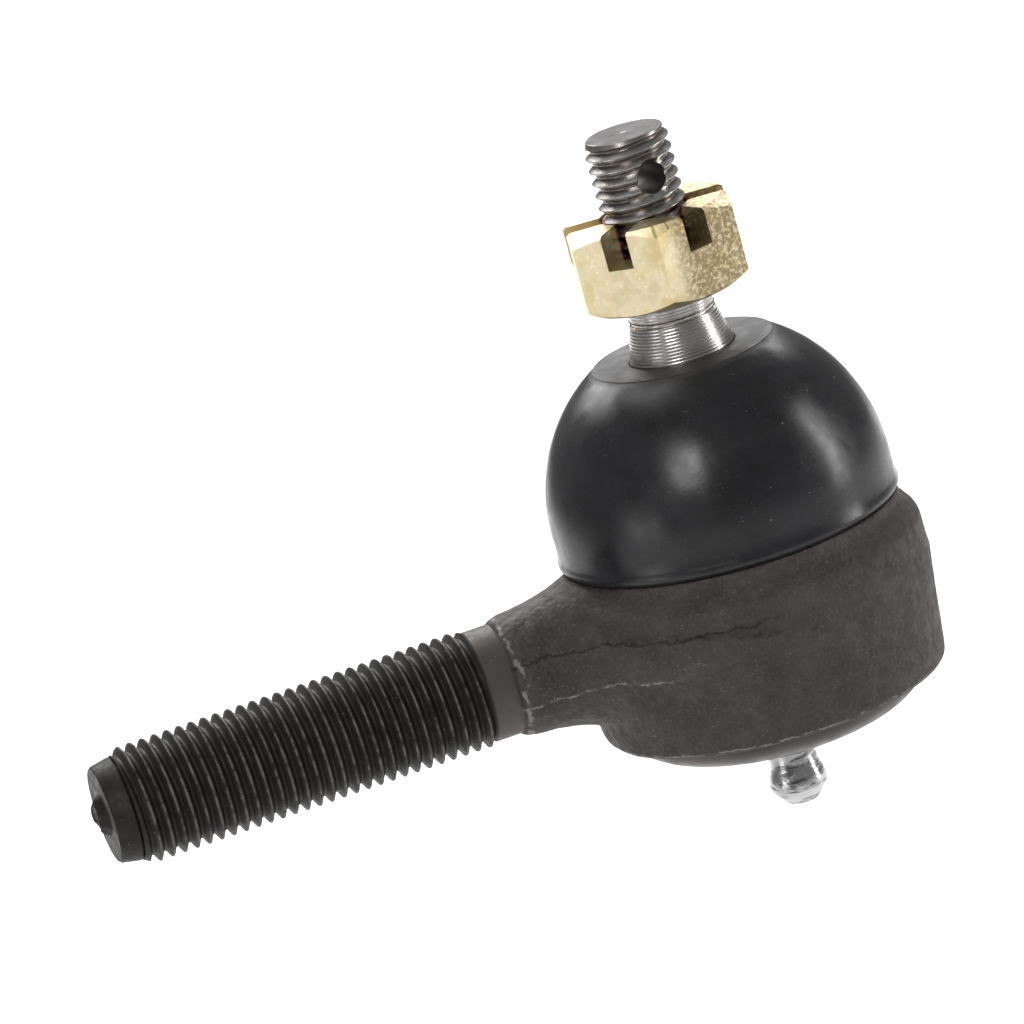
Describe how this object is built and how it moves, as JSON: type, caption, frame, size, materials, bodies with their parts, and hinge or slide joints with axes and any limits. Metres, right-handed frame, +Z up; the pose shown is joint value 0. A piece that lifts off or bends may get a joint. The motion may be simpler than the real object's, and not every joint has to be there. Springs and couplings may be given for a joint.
{
  "type": "tie rod end",
  "caption": "Tie rod end: a forged housing with a threaded shank and a ball stud that tilts and turns, with a castle nut, a domed rubber boot and a grease nipple.",
  "frame": {"origin": "centre of the ball, where the shank's axis meets the stud's axis", "axes": "+Z up the stud towards its thread; the shank points along -X; +Y completes the right-handed frame"},
  "size_m": [0.1018, 0.0436, 0.0826],
  "materials": {
    "forged_steel": "rough black forging skin",
    "bright_steel": "turned",
    "bearing_steel": "satin",
    "spring_steel": "oiled",
    "cover_steel": "dark satin",
    "yellow_zinc": "yellow zinc plating",
    "rubber": "satin",
    "nickel": "bright plated"
  },
  "bodies": {
    "housing_body": {"housing": "forged_steel", "pressure_seat": "bearing_steel", "preload_spring": "spring_steel", "end_cover": "cover_steel", "nipple_body": "nickel", "nipple_spring": "spring_steel"},
    "boot_body": {"dust_boot": "rubber"},
    "half_ball_body": {"half_ball": "bearing_steel"},
    "stud_body": {"ball_stud": "bright_steel", "castle_nut": "yellow_zinc"},
    "valve_ball": {"nipple_ball": "bearing_steel"}
  },
  "joints": [
    {"name": "swing", "type": "hinge", "parent": "housing_body", "child": "boot_body", "pos_m": [0, 0, 0], "axis": [0, 0, 1], "continuous": true},
    {"name": "tilt", "type": "hinge", "parent": "boot_body", "child": "half_ball_body", "pos_m": [0, 0, 0], "axis": [0, 1, 0], "range_deg": [-27, 27], "deforming": ["dust_boot"]},
    {"name": "spin", "type": "hinge", "parent": "half_ball_body", "child": "stud_body", "pos_m": [0, 0, 0], "axis": [0, 0, 1], "continuous": true},
    {"name": "check_valve", "type": "slide", "parent": "housing_body", "child": "valve_ball", "axis": [0, 0, 1], "range_m": [0, 0.0006], "stiffness_N_per_m": 800, "springref_m": -0.0005, "deforming": ["nipple_spring"]}
  ]
}
